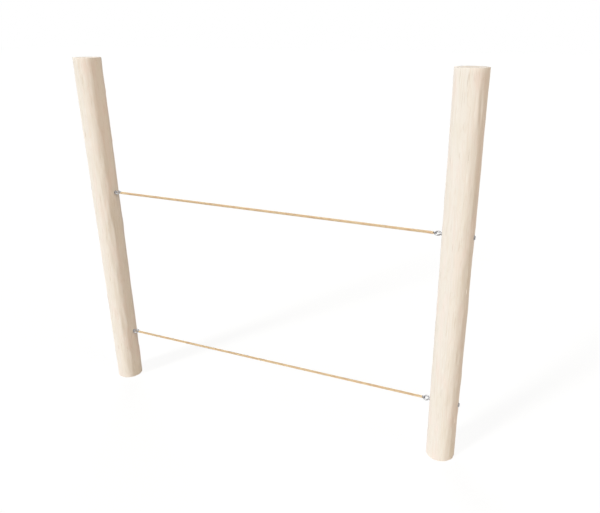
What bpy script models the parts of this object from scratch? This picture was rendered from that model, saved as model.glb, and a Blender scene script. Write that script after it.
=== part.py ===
"""Rope traverse: two round timber posts joined by two taut ropes.

A climber stands on the lower rope and holds the upper one.
Units are metres. +Z is up, +X runs along the ropes from the left post to the right post,
and the origin is on the ground midway between the posts.
"""
import math

import bmesh
import bpy
from mathutils import Matrix

# Driving dimensions of the frame
POST_DIAMETER = 0.180
POST_HEIGHT = 2.400
POST_SPACING = 2.520
POST_TOP_CHAMFER = 0.003
UPPER_ROPE_HEIGHT = 1.495
LOWER_ROPE_HEIGHT = 0.390

# Rope: fibre strands laid round a steel wire core
ROPE_DIAMETER = 0.016
CORE_DIAMETER = 0.006

# M12 eye bolt that goes right through the post
BOLT_DIAMETER = 0.012
BOLT_END_CHAMFER = 0.0015
BOLT_END_INSET = 0.0005
BORE_CLEARANCE = 0.0005
COLLAR_WIDTH = 0.005
COLLAR_THICKNESS = 0.004
COLLAR_CHAMFER = 0.001
NECK_LEDGE = 0.0015
NECK_HEIGHT = 0.004
RING_BAR_DIAMETER = 0.010
RING_OPENING = 0.022
RING_SINK = 0.0015
RING_TURN = math.radians(20)

# Washers and nut. A width is measured from the hole to the outer edge
INNER_WASHER_WIDTH = 0.0055
INNER_WASHER_THICKNESS = 0.0025
OUTER_WASHER_WIDTH = 0.0085
OUTER_WASHER_THICKNESS = 0.0025
WASHER_CHAMFER = 0.0004
WASHER_SEAT_MARGIN = 0.0005
WASHER_SEAT_DEPTH = 0.001
NUT_WALL = 0.0035
NUT_HEIGHT = 0.006
NUT_FACE_EDGE = 0.0008
NUT_CHAMFER_ANGLE = math.radians(30)

# Rope terminal: a flat steel eye with a hollow tail pressed onto the core
EYE_THICKNESS = 0.006
EYE_WALL = 0.00325
EYE_PLAY = 0.003
EYE_EDGE_ROUND = 0.0008
EYE_HOLE_FLARE = 0.0012
TAIL_WALL = 0.0017
TAIL_LENGTH = 0.040
TAIL_SOLID_LENGTH = 0.006
ROPE_TO_RING_GAP = 0.0011

# Space left between pieces that touch on the real object, and how far a cutter runs past what it cuts
TOUCH_GAP = 0.0003
CUT_OVERSHOOT = 0.010

# Smoothness of the round shapes
POST_SIDES = 72
BOLT_SIDES = 24
RING_SIDES = 36
RING_BAR_SIDES = 12
EYE_SIDES = 32
ROPE_SIDES = 20
SMOOTH_ANGLE = math.radians(35)

# Sizes that follow from the driving dimensions
POST_RADIUS = POST_DIAMETER / 2
ROPE_RADIUS = ROPE_DIAMETER / 2
BOLT_RADIUS = BOLT_DIAMETER / 2
BORE_RADIUS = BOLT_RADIUS + BORE_CLEARANCE
COLLAR_RADIUS = BOLT_RADIUS + COLLAR_WIDTH
NECK_FOOT_RADIUS = COLLAR_RADIUS - COLLAR_CHAMFER - NECK_LEDGE
INNER_WASHER_RADIUS = BORE_RADIUS + INNER_WASHER_WIDTH
OUTER_WASHER_RADIUS = BORE_RADIUS + OUTER_WASHER_WIDTH
NUT_FLAT_RADIUS = BOLT_RADIUS + NUT_WALL
RING_BAR_RADIUS = RING_BAR_DIAMETER / 2
RING_RADIUS = RING_OPENING / 2 + RING_BAR_RADIUS
NECK_TOP_RADIUS = RING_BAR_RADIUS - TOUCH_GAP
EYE_HOLE_RADIUS = (RING_BAR_DIAMETER + EYE_PLAY) / 2
EYE_RADIUS = EYE_HOLE_RADIUS + EYE_WALL
CORE_BORE_RADIUS = CORE_DIAMETER / 2 + TOUCH_GAP
TAIL_RADIUS = CORE_BORE_RADIUS + TAIL_WALL


def washer_seat(washer_radius):
    """Distance from the post's axis to the flat that is cut into it for a washer."""
    seat_radius = washer_radius + WASHER_SEAT_MARGIN
    edge_of_wood = math.sqrt(POST_RADIUS ** 2 - seat_radius ** 2)
    return edge_of_wood - WASHER_SEAT_DEPTH


# Places on the rope's side of a post, as distances from the post's axis
INNER_SEAT = washer_seat(INNER_WASHER_RADIUS)
INNER_WASHER_START = INNER_SEAT + TOUCH_GAP
INNER_WASHER_END = INNER_WASHER_START + INNER_WASHER_THICKNESS
COLLAR_START = INNER_WASHER_END + TOUCH_GAP
COLLAR_END = COLLAR_START + COLLAR_THICKNESS
RING_CENTRE = COLLAR_END + RING_RADIUS + RING_BAR_RADIUS - RING_SINK
RING_REACH = RING_CENTRE + RING_RADIUS + RING_BAR_RADIUS
EYE_EDGE_ON_RING = math.sqrt((RING_OPENING / 2) ** 2 - (EYE_THICKNESS / 2) ** 2)
EYE_CENTRE = RING_CENTRE + EYE_EDGE_ON_RING - TOUCH_GAP + EYE_HOLE_RADIUS
EYE_REACH = EYE_CENTRE + EYE_RADIUS
TAIL_START = EYE_CENTRE + EYE_HOLE_RADIUS + EYE_WALL / 2
TAIL_BORE_START = EYE_REACH + TAIL_SOLID_LENGTH
TAIL_END = EYE_REACH + TAIL_LENGTH
ROPE_START = RING_REACH + ROPE_TO_RING_GAP

# Places on the other side of a post, as distances from the post's axis away from the rope
OUTER_SEAT = washer_seat(OUTER_WASHER_RADIUS)
OUTER_WASHER_START = OUTER_SEAT + TOUCH_GAP
OUTER_WASHER_END = OUTER_WASHER_START + OUTER_WASHER_THICKNESS
NUT_START = OUTER_WASHER_END + TOUCH_GAP
NUT_END = NUT_START + NUT_HEIGHT
BOLT_END = NUT_END - BOLT_END_INSET


def clear_scene():
    for old_object in list(bpy.data.objects):
        bpy.data.objects.remove(old_object, do_unlink=True)


def new_collection(name):
    collection = bpy.data.collections.new(name)
    bpy.context.scene.collection.children.link(collection)
    return collection


def new_material(name, colour, roughness, metallic):
    material = bpy.data.materials.new(name)
    material.use_nodes = True
    surface = material.node_tree.nodes["Principled BSDF"]
    surface.inputs["Base Color"].default_value = (*colour, 1)
    surface.inputs["Roughness"].default_value = roughness
    surface.inputs["Metallic"].default_value = metallic
    return material


def new_empty(name, location, roll=0, turn=0):
    """An empty whose own +X axis runs along a bolt or a rope. It can be rolled about that axis."""
    empty = bpy.data.objects.new(name, None)
    empty.location = location
    empty.rotation_euler = (roll, 0, turn)
    empty.empty_display_size = 0.05
    guides.objects.link(empty)
    return empty


def new_guide(name, data):
    """An object that only helps to shape the parts: a blank or a cutter."""
    guide = bpy.data.objects.new(name, data)
    guide.hide_render = True
    guide.display_type = "WIRE"
    guides.objects.link(guide)
    return guide


def add_piece(name, data, parent):
    """Add a piece whose own +Z runs along the bolt or rope, so that it follows the parent's +X."""
    piece = bpy.data.objects.new(name, data)
    piece.parent = parent
    piece.rotation_euler = (0, math.pi / 2, 0)
    parts.objects.link(piece)
    return piece


def turned(name, profile, sides):
    """A shape turned about Z from (radius, z) points that run down its outer side.

    A profile that starts on the axis is left open, and one that starts off it is a closed loop.
    """
    points = [(radius, 0, z) for radius, z in profile]
    edges = [(index, index + 1) for index in range(len(points) - 1)]
    if profile[0][0] > 0:
        edges.append((len(points) - 1, 0))
    mesh = bpy.data.meshes.new(name)
    mesh.from_pydata(points, edges, [])
    shape = new_guide(name, mesh)
    screw = shape.modifiers.new("Turn", "SCREW")
    screw.axis = "Z"
    screw.steps = sides
    screw.render_steps = sides
    screw.use_merge_vertices = True
    screw.merge_threshold = 0.00001
    return shape


def cylinder(name, radius, depth, sides, placement):
    """A solid cylinder, made along Z about the origin and then moved by a matrix."""
    mesh = bpy.data.meshes.new(name)
    shape = bmesh.new()
    bmesh.ops.create_cone(
        shape, cap_ends=True, segments=sides, radius1=radius, radius2=radius, depth=depth
    )
    bmesh.ops.transform(shape, matrix=placement, verts=shape.verts)
    shape.to_mesh(mesh)
    shape.free()
    return new_guide(name, mesh)


def block(name, size, centre):
    mesh = bpy.data.meshes.new(name)
    shape = bmesh.new()
    bmesh.ops.create_cube(shape, size=1)
    bmesh.ops.scale(shape, vec=size, verts=shape.verts)
    bmesh.ops.translate(shape, vec=centre, verts=shape.verts)
    shape.to_mesh(mesh)
    shape.free()
    return new_guide(name, mesh)


def add_boolean(target, tool, operation):
    boolean = target.modifiers.new(operation.title(), "BOOLEAN")
    boolean.operation = operation
    boolean.solver = "EXACT"
    boolean.object = tool


def shade(mesh):
    mesh.shade_smooth()
    mesh.set_sharp_from_angle(angle=SMOOTH_ANGLE)


def finished_mesh(shape, material=None, tools=()):
    """The mesh that a shape's modifiers give. The shape and the tools that cut it are removed."""
    bpy.context.view_layer.update()
    evaluated = shape.evaluated_get(bpy.context.evaluated_depsgraph_get())
    mesh = bpy.data.meshes.new_from_object(evaluated)
    mesh.name = shape.name
    mesh.materials.clear()
    mesh.materials.append(material)
    shade(mesh)
    for used in (shape, *tools):
        bpy.data.objects.remove(used, do_unlink=True)
    return mesh


def make_post(name, x):
    """A round post with a flat foot and a small chamfer round its top."""
    mesh = bpy.data.meshes.new(name)
    shape = bmesh.new()
    bmesh.ops.create_cone(
        shape,
        cap_ends=True,
        segments=POST_SIDES,
        radius1=POST_RADIUS,
        radius2=POST_RADIUS,
        depth=POST_HEIGHT,
        matrix=Matrix.Translation((0, 0, POST_HEIGHT / 2)),
    )
    middle = POST_HEIGHT / 2
    top_edges = [edge for edge in shape.edges if all(vertex.co.z > middle for vertex in edge.verts)]
    bmesh.ops.bevel(
        shape, geom=top_edges, offset=POST_TOP_CHAMFER, segments=2, profile=0.5, affect="EDGES"
    )
    shape.to_mesh(mesh)
    shape.free()
    mesh.materials.append(timber)
    shade(mesh)
    post = bpy.data.objects.new(name, mesh)
    post.location = (x, 0, 0)
    parts.objects.link(post)
    return post


def bolt_hole_mesh():
    """What is cut from a post for one bolt: the bore, with a flat seat for the washer at each end."""
    beyond = POST_RADIUS + CUT_OVERSHOOT
    inner_radius = INNER_WASHER_RADIUS + WASHER_SEAT_MARGIN
    outer_radius = OUTER_WASHER_RADIUS + WASHER_SEAT_MARGIN
    profile = [
        (0, beyond),
        (inner_radius, beyond),
        (inner_radius, INNER_SEAT),
        (BORE_RADIUS, INNER_SEAT),
        (BORE_RADIUS, -OUTER_SEAT),
        (outer_radius, -OUTER_SEAT),
        (outer_radius, -beyond),
        (0, -beyond),
    ]
    return finished_mesh(turned("bolt_hole", profile, BOLT_SIDES))


def eye_bolt_mesh():
    """A forged eye bolt: a ring, a neck, a collar and a long shank."""
    profile = [
        (0, COLLAR_END + NECK_HEIGHT),
        (NECK_TOP_RADIUS, COLLAR_END + NECK_HEIGHT),
        (NECK_FOOT_RADIUS, COLLAR_END),
        (COLLAR_RADIUS - COLLAR_CHAMFER, COLLAR_END),
        (COLLAR_RADIUS, COLLAR_END - COLLAR_CHAMFER),
        (COLLAR_RADIUS, COLLAR_START),
        (BOLT_RADIUS, COLLAR_START),
        (BOLT_RADIUS, -BOLT_END + BOLT_END_CHAMFER),
        (BOLT_RADIUS - BOLT_END_CHAMFER, -BOLT_END),
        (0, -BOLT_END),
    ]
    bolt = turned("eye_bolt", profile, BOLT_SIDES)
    bpy.ops.mesh.primitive_torus_add(
        major_radius=RING_RADIUS,
        minor_radius=RING_BAR_RADIUS,
        major_segments=RING_SIDES,
        minor_segments=RING_BAR_SIDES,
        location=(0, 0, RING_CENTRE),
        rotation=(0, math.pi / 2, 0),
    )
    ring = bpy.context.active_object
    add_boolean(bolt, ring, "UNION")
    return finished_mesh(bolt, stainless, [ring])


def washer_mesh(name, radius, low, high):
    """A flat washer between two places along the bolt, with its outer edges broken."""
    profile = [
        (radius - WASHER_CHAMFER, high),
        (radius, high - WASHER_CHAMFER),
        (radius, low + WASHER_CHAMFER),
        (radius - WASHER_CHAMFER, low),
        (BORE_RADIUS, low),
        (BORE_RADIUS, high),
    ]
    return finished_mesh(turned(name, profile, BOLT_SIDES), stainless)


def nut_mesh():
    """A hexagon nut: a turned and bored ring with chamfered faces, cut to six flats."""
    high = -NUT_START
    low = -NUT_END
    corner_radius = NUT_FLAT_RADIUS / math.cos(math.pi / 6)
    face_radius = NUT_FLAT_RADIUS - NUT_FACE_EDGE
    turned_radius = corner_radius + NUT_FACE_EDGE
    drop = (turned_radius - face_radius) * math.tan(NUT_CHAMFER_ANGLE)
    profile = [
        (face_radius, high),
        (turned_radius, high - drop),
        (turned_radius, low + drop),
        (face_radius, low),
        (BOLT_RADIUS + TOUCH_GAP, low),
        (BOLT_RADIUS + TOUCH_GAP, high),
    ]
    nut = turned("nut", profile, BOLT_SIDES)
    middle = Matrix.Translation((0, 0, (high + low) / 2))
    six_flats = cylinder("six_flats", corner_radius, NUT_HEIGHT + CUT_OVERSHOOT, 6, middle)
    add_boolean(nut, six_flats, "INTERSECT")
    return finished_mesh(nut, stainless, [six_flats])


def eye_hole():
    """The hole through a terminal's eye, flared at both faces so that the eye can rock on the ring."""
    face = EYE_THICKNESS / 2
    beyond = face + CUT_OVERSHOOT
    flared_radius = EYE_HOLE_RADIUS + EYE_HOLE_FLARE
    profile = [
        (0, beyond),
        (flared_radius, beyond),
        (flared_radius, face),
        (EYE_HOLE_RADIUS, face - EYE_HOLE_FLARE),
        (EYE_HOLE_RADIUS, EYE_HOLE_FLARE - face),
        (flared_radius, -face),
        (flared_radius, -beyond),
        (0, -beyond),
    ]
    hole = turned("eye_hole", profile, EYE_SIDES)
    hole.location = (0, 0, EYE_CENTRE)
    hole.rotation_euler = (math.pi / 2, 0, 0)
    return hole


def rope_terminal_mesh():
    """A flat eye that hangs on the ring's bar, with a round hollow tail pressed onto the core."""
    across = Matrix.Translation((0, 0, EYE_CENTRE)) @ Matrix.Rotation(math.pi / 2, 4, "X")
    eye = cylinder("rope_terminal", EYE_RADIUS, EYE_THICKNESS, EYE_SIDES, across)
    rounding = eye.modifiers.new("Rounded edges", "BEVEL")
    rounding.width = EYE_EDGE_ROUND
    rounding.segments = 1
    rounding.limit_method = "ANGLE"
    rounding.angle_limit = math.radians(60)
    profile = [
        (0, TAIL_BORE_START),
        (CORE_BORE_RADIUS, TAIL_BORE_START),
        (CORE_BORE_RADIUS, TAIL_END),
        (TAIL_RADIUS, TAIL_END),
        (TAIL_RADIUS, EYE_REACH),
        (EYE_THICKNESS / 2, TAIL_START),
        (0, TAIL_START),
    ]
    tail = turned("terminal_tail", profile, ROPE_SIDES)
    hole = eye_hole()
    add_boolean(eye, tail, "UNION")
    add_boolean(eye, hole, "DIFFERENCE")
    return finished_mesh(eye, stainless, [tail, hole])


def rope_mesh():
    """The fibre strands as one tube, slotted at its ends to reach past the terminals' eyes."""
    half_length = POST_SPACING / 2 - ROPE_START
    core_room = POST_SPACING / 2 - TAIL_END - TOUCH_GAP
    end_bore_radius = TAIL_RADIUS + TOUCH_GAP
    profile = [
        (ROPE_RADIUS, half_length),
        (ROPE_RADIUS, -half_length),
        (end_bore_radius, -half_length),
        (end_bore_radius, -core_room),
        (CORE_BORE_RADIUS, -core_room),
        (CORE_BORE_RADIUS, core_room),
        (end_bore_radius, core_room),
        (end_bore_radius, half_length),
    ]
    rope = turned("rope", profile, ROPE_SIDES)
    slot_bottom = POST_SPACING / 2 - EYE_REACH - TOUCH_GAP
    slot_length = half_length + CUT_OVERSHOOT - slot_bottom
    slot_size = (ROPE_DIAMETER + CUT_OVERSHOOT, EYE_THICKNESS + 2 * TOUCH_GAP, slot_length)
    slots = []
    for end in (-1, 1):
        slot = block("rope_slot", slot_size, (0, 0, end * (slot_bottom + slot_length / 2)))
        add_boolean(rope, slot, "DIFFERENCE")
        slots.append(slot)
    return finished_mesh(rope, rope_fibre, slots)


def core_curve():
    """The steel wire core: a straight wire from inside one terminal's tail to inside the other's."""
    half_length = POST_SPACING / 2 - TAIL_BORE_START - TOUCH_GAP
    wire = bpy.data.curves.new("rope_core", "CURVE")
    wire.dimensions = "3D"
    wire.bevel_depth = CORE_DIAMETER / 2
    wire.bevel_resolution = 3
    wire.use_fill_caps = True
    spline = wire.splines.new("POLY")
    spline.points.add(1)
    spline.points[0].co = (0, 0, -half_length, 1)
    spline.points[1].co = (0, 0, half_length, 1)
    wire.materials.append(core_steel)
    return wire


clear_scene()
parts = new_collection("rope_traverse")
guides = new_collection("guides")

timber = new_material("peeled_timber", (0.90, 0.83, 0.73), 0.75, 0)
stainless = new_material("stainless_steel", (0.62, 0.62, 0.61), 0.28, 1)
rope_fibre = new_material("rope_fibre", (0.68, 0.51, 0.31), 0.85, 0)
core_steel = new_material("galvanised_wire", (0.55, 0.56, 0.57), 0.45, 1)

bolt_hole = bolt_hole_mesh()
turned_pieces = {
    "eye_bolt": eye_bolt_mesh(),
    "rope_terminal": rope_terminal_mesh(),
}
bolt_pieces = {
    "inner_washer": washer_mesh("inner_washer", INNER_WASHER_RADIUS, INNER_WASHER_START, INNER_WASHER_END),
    "outer_washer": washer_mesh("outer_washer", OUTER_WASHER_RADIUS, -OUTER_WASHER_END, -OUTER_WASHER_START),
    "nut": nut_mesh(),
}
rope = rope_mesh()
core = core_curve()

# Each side has its place along X, and the turn that points its own +X at the other post
SIDES = {"left": (-POST_SPACING / 2, 0), "right": (POST_SPACING / 2, math.pi)}
LEVELS = {"upper": UPPER_ROPE_HEIGHT, "lower": LOWER_ROPE_HEIGHT}

posts = {side: make_post(f"{side}_post", x) for side, (x, turn) in SIDES.items()}

# The rings lie across the ropes, turned a little about them, and the ropes' ends are turned to match
for level, height in LEVELS.items():
    rope_axis = new_empty(f"{level}_rope_axis", (0, 0, height), roll=RING_TURN)
    add_piece(f"{level}_rope", rope, rope_axis)
    add_piece(f"{level}_rope_core", core, rope_axis)
    for side, (x, turn) in SIDES.items():
        for piece_name, mesh in turned_pieces.items():
            piece = add_piece(f"{level}_{side}_{piece_name}", mesh, rope_axis)
            piece.location = (x, 0, 0)
            piece.rotation_euler = (0, math.pi / 2, turn)

        bolt_axis = new_empty(f"{level}_{side}_bolt_axis", (x, 0, height), turn=turn)
        for piece_name, mesh in bolt_pieces.items():
            add_piece(f"{level}_{side}_{piece_name}", mesh, bolt_axis)

        hole = new_guide(f"{level}_{side}_bolt_hole", bolt_hole)
        hole.parent = bolt_axis
        hole.rotation_euler = (0, math.pi / 2, 0)
        add_boolean(posts[side], hole, "DIFFERENCE")
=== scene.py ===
"""Rope traverse: two peeled timber posts with two ropes of laid fibre strung taut between them."""
import math
import random

import bmesh
import bpy
import numpy as np
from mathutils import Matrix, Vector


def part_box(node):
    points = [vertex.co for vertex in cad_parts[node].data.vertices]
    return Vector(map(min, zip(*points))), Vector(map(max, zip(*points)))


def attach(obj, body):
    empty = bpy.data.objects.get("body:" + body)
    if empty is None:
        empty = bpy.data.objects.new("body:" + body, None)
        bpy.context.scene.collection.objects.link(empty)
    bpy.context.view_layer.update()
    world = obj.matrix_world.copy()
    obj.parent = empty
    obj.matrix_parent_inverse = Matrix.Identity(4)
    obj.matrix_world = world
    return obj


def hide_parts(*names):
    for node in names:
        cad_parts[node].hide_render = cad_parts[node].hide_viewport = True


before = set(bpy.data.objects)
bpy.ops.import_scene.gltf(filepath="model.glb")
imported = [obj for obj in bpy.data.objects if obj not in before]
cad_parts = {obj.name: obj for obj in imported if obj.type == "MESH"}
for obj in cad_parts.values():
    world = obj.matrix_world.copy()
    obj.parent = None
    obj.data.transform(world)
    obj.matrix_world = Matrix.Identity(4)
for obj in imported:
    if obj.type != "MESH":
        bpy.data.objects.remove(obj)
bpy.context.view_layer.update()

# The view
# The traverse is seen from above, in front of its right end, looking down and to the left across both
# ropes. The lens and its small shift frame it as in the photograph, 600 by 513 pixels.
LOOKS_DOWN = math.radians(21.422)
LOOKS_LEFT = math.radians(22.865)

camera_lens = bpy.data.cameras.new("view")
camera_lens.sensor_width = 36
camera_lens.lens = 35.78
camera_lens.shift_x = -0.04656
camera_lens.shift_y = 0.0052
camera = bpy.data.objects.new("view", camera_lens)
camera.location = (1.817, -3.204, 2.594)
camera.rotation_euler = (math.pi / 2 - LOOKS_DOWN, 0, LOOKS_LEFT)
bpy.context.scene.collection.objects.link(camera)
bpy.context.scene.camera = camera

# Posts
# Two straight round softwood trunks, debarked and peeled with a drawknife, so that long shallow flats run
# down them, and sawn square at both ends. Each bolt has a bore with a flat seat for its washers.
SIDES = ("left", "right")
LEVELS = ("upper", "lower")
BOLT_TURN = {"left": 0, "right": math.pi}

post_low, post_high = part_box("left_post")
POST_RADIUS = (post_high.y - post_low.y) / 2
POST_HEIGHT = post_high.z
POST_X = {}
for side in SIDES:
    low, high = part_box(f"{side}_post")
    POST_X[side] = (low.x + high.x) / 2
ROPE_HEIGHT = {}
for level in LEVELS:
    low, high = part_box(f"{level}_rope")
    ROPE_HEIGHT[level] = (low.z + high.z) / 2


def linear(hex_colour):
    """An sRGB hex colour as the linear colour that a shader takes."""
    shares = [int(hex_colour[place:place + 2], 16) / 255 for place in (1, 3, 5)]
    light = [share / 12.92 if share <= 0.04045 else ((share + 0.055) / 1.055) ** 2.4 for share in shares]
    return (*light, 1)


def new_material(name):
    """A new material, its node tree and its surface shader."""
    material = bpy.data.materials.new(name)
    material.use_nodes = True
    return material, material.node_tree, material.node_tree.nodes["Principled BSDF"]


def add_node(tree, kind, sockets=None, output=None, stops=(), **settings):
    """Add a node and return an output of it, the first that is in use unless one is named.

    Its sockets, by identifier, take a value or another node's output.
    """
    made = tree.nodes.new("ShaderNode" + kind)
    for name, value in settings.items():
        setattr(made, name, value)
    for index, (place, colour) in enumerate(stops):
        if index > 1:
            made.color_ramp.elements.new(place)
        made.color_ramp.elements[index].position = place
        made.color_ramp.elements[index].color = linear(colour)
    for name, value in (sockets or {}).items():
        socket = next(one for one in made.inputs if one.identifier == name)
        if isinstance(value, bpy.types.NodeSocket):
            tree.links.new(value, socket)
        else:
            socket.default_value = value
    return made.outputs[output] if output else next(one for one in made.outputs if one.enabled)


def tinted(tree, colour, *layers):
    """Lay tints over a colour, each as strong as its pattern says, and return the new colour.

    A layer is a pattern, the value at which its tint starts, the value at which it is full, the share of
    the tint there, and the tint.
    """
    for pattern, start, full, share, tint in layers:
        amount = add_node(
            tree, "MapRange",
            {"Value": pattern, "From Min": start, "From Max": full, "To Min": 0.0, "To Max": share},
        )
        colour = add_node(
            tree, "Mix", {"Factor_Float": amount, "A_Color": colour, "B_Color": linear(tint)},
            data_type="RGBA",
        )
    return colour


# Patterns of the peeled wood, by their widths across the grain and their lengths along it
YEAR_RING_WIDTH = 0.0027
WANDER_WIDTH = 0.0769
WANDER_LENGTH = 0.769
WANDER_DEPTH = 0.034
FIBRE_WIDTH = 0.0024
FIBRE_LENGTH = 0.1333
STREAK_WIDTH = 0.006667
PATCH_WIDTH = 0.0667
PATCH_LENGTH = 0.2223
SLIVER_WIDTH = 0.0040
SLIVER_LENGTH = 0.100


def peeled_side(name, x):
    """Side grain of peeled softwood, in the open for a season: pale, matt, with faint growth lines."""
    material, tree, surface = new_material(name)
    place = add_node(tree, "TexCoord", output="Object")
    centred = add_node(tree, "Mapping", {"Vector": place, "Location": (-x, 0, 0)})

    # Growth lines: the surface cuts the yearly rings at a shallow angle, so they run in long loops
    flat = add_node(tree, "Mapping", {"Vector": centred, "Scale": (1, 1, 0)})
    radius = add_node(tree, "VectorMath", {"Vector": flat}, operation="LENGTH")
    drawn_out = add_node(
        tree, "Mapping", {"Vector": centred, "Scale": (1, 1, WANDER_WIDTH / WANDER_LENGTH)}
    )
    wander = add_node(tree, "TexNoise", {"Vector": drawn_out, "Scale": 1 / WANDER_WIDTH, "Detail": 2})
    wander = add_node(tree, "Math", {"Value": wander, "Value_001": WANDER_DEPTH}, operation="MULTIPLY")
    depth = add_node(tree, "Math", {"Value": radius, "Value_001": wander}, operation="ADD")
    ring = add_node(tree, "Math", {"Value": depth, "Value_001": YEAR_RING_WIDTH}, operation="DIVIDE")
    ring = add_node(tree, "Math", {"Value": ring}, operation="FRACT")
    late_wood = add_node(
        tree, "ValToRGB", {"Fac": ring},
        stops=((0.0, "#000000"), (0.62, "#3a3a3a"), (0.86, "#ffffff"), (1.0, "#000000")),
    )

    # Fibres and streaks along the trunk, the fibres drawn much coarser than real so that they show
    combed = add_node(tree, "Mapping", {"Vector": centred, "Scale": (1, 1, FIBRE_WIDTH / FIBRE_LENGTH)})
    fibre = add_node(
        tree, "TexNoise", {"Vector": combed, "Scale": 1 / FIBRE_WIDTH, "Detail": 3, "Roughness": 0.6}
    )
    streak = add_node(tree, "TexNoise", {"Vector": combed, "Scale": 1 / STREAK_WIDTH, "Detail": 2})

    # Slivers: short dark dashes of painted shade where the knife split the fibres, light ones of painted
    # highlight where it lifted them
    dashed = add_node(tree, "Mapping", {"Vector": centred, "Scale": (1, 1, SLIVER_WIDTH / SLIVER_LENGTH)})
    sliver = add_node(tree, "TexNoise", {"Vector": dashed, "Scale": 1 / SLIVER_WIDTH, "Detail": 0})

    # Broad patches, where the sapwood is creamier or pinker, lie under all the others
    broad = add_node(tree, "Mapping", {"Vector": centred, "Scale": (1, 1, PATCH_WIDTH / PATCH_LENGTH)})
    patch = add_node(tree, "TexNoise", {"Vector": broad, "Scale": 1 / PATCH_WIDTH, "Detail": 2})
    colour = add_node(
        tree, "ValToRGB", {"Fac": patch},
        stops=((0.30, "#FAF0E9"), (0.50, "#F8F3EC"), (0.70, "#F6F1E8")),
    )
    colour = tinted(
        tree, colour,
        (late_wood, 0.0, 1.0, 0.13, "#E3D0BA"),
        (streak, 0.50, 0.75, 0.17, "#E0CEB8"),
        (fibre, 0.35, 0.65, 0.09, "#DAC7B1"),
        # Painted shade in the splits, and a painted highlight on the lifted fibres
        (sliver, 0.75, 0.82, 0.32, "#C4AF97"),
        (sliver, 0.26, 0.20, 0.80, "#FCF8F2"),
    )
    tree.links.new(colour, surface.inputs["Base Color"])

    roughness = add_node(
        tree, "MapRange",
        {"Value": fibre, "From Min": 0.3, "From Max": 0.7, "To Min": 0.70, "To Max": 0.86},
    )
    tree.links.new(roughness, surface.inputs["Roughness"])
    relief = add_node(tree, "Math", {"Value": fibre, "Value_001": late_wood}, operation="ADD")
    bump = add_node(tree, "Bump", {"Height": relief, "Strength": 0.25, "Distance": 0.0003})
    tree.links.new(bump, surface.inputs["Normal"])
    surface.inputs["Specular IOR Level"].default_value = 0.25
    return material


END_YEAR_RING_WIDTH = 0.00351
PITH_OFFSET = (-0.007, 0.005)
WOBBLE_WIDTH = 0.04545
WOBBLE_DEPTH = 0.012
HEARTWOOD_RADII = (0.030, 0.052)
SAW_MARK_WIDTH = 0.00238
SAW_MARK_LENGTH = 0.0595
SAW_MARK_TURN = 0.5


def sawn_end(name, x):
    """End grain of softwood, sawn across: yearly rings round an off-centre pith, and faint saw marks."""
    material, tree, surface = new_material(name)
    place = add_node(tree, "TexCoord", output="Object")
    to_pith = (-x - PITH_OFFSET[0], -PITH_OFFSET[1], 0)
    pith = add_node(tree, "Mapping", {"Vector": place, "Location": to_pith})
    flat = add_node(tree, "Mapping", {"Vector": pith, "Scale": (1, 1, 0)})
    radius = add_node(tree, "VectorMath", {"Vector": flat}, operation="LENGTH")
    wobble = add_node(tree, "TexNoise", {"Vector": flat, "Scale": 1 / WOBBLE_WIDTH, "Detail": 2})
    wobble = add_node(tree, "Math", {"Value": wobble, "Value_001": WOBBLE_DEPTH}, operation="MULTIPLY")
    depth = add_node(tree, "Math", {"Value": radius, "Value_001": wobble}, operation="ADD")
    ring = add_node(tree, "Math", {"Value": depth, "Value_001": END_YEAR_RING_WIDTH}, operation="DIVIDE")
    ring = add_node(tree, "Math", {"Value": ring}, operation="FRACT")
    colour = add_node(
        tree, "ValToRGB", {"Fac": ring},
        stops=((0.0, "#F9F3EE"), (0.55, "#F6EFE8"), (0.88, "#E6DACB"), (1.0, "#F9F3EE")),
    )
    drawn_out = add_node(tree, "Mapping", {
        "Vector": flat,
        "Scale": (1, SAW_MARK_WIDTH / SAW_MARK_LENGTH, 1),
        "Rotation": (0, 0, SAW_MARK_TURN),
    })
    saw = add_node(tree, "TexNoise", {"Vector": drawn_out, "Scale": 1 / SAW_MARK_WIDTH, "Detail": 2})
    heart_edge, heart_end = HEARTWOOD_RADII
    colour = tinted(
        tree, colour,
        (radius, heart_end, heart_edge, 0.35, "#E8D8C2"),
        (saw, 0.5, 0.7, 0.25, "#DCCBB4"),
    )
    tree.links.new(colour, surface.inputs["Base Color"])
    bump = add_node(tree, "Bump", {"Height": saw, "Strength": 0.4, "Distance": 0.0004})
    tree.links.new(bump, surface.inputs["Normal"])
    surface.inputs["Roughness"].default_value = 0.85
    surface.inputs["Specular IOR Level"].default_value = 0.2
    return material


TORN_FIBRE_WIDTH = 0.0016667
TORN_FIBRE_LENGTH = 0.033333


def split_wood(name):
    """Torn fibres in a crack or a bore, drawn coarser than real: browner than the peeled face, and matt."""
    material, tree, surface = new_material(name)
    place = add_node(tree, "TexCoord", output="Object")
    combed = add_node(
        tree, "Mapping", {"Vector": place, "Scale": (1, 1, TORN_FIBRE_WIDTH / TORN_FIBRE_LENGTH)}
    )
    fibre = add_node(tree, "TexNoise", {"Vector": combed, "Scale": 1 / TORN_FIBRE_WIDTH, "Detail": 2})
    colour = add_node(
        tree, "ValToRGB", {"Fac": fibre}, stops=((0.35, "#BFA98A"), (0.65, "#D9C6A8")),
    )
    tree.links.new(colour, surface.inputs["Base Color"])
    bump = add_node(tree, "Bump", {"Height": fibre, "Strength": 0.5, "Distance": 0.0003})
    tree.links.new(bump, surface.inputs["Normal"])
    surface.inputs["Roughness"].default_value = 0.9
    return material


def settle(piece):
    """Put a piece's place, turn and size into its mesh."""
    bpy.ops.object.select_all(action="DESELECT")
    piece.select_set(True)
    bpy.context.view_layer.objects.active = piece
    bpy.ops.object.transform_apply(location=True, rotation=True, scale=True)


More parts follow.
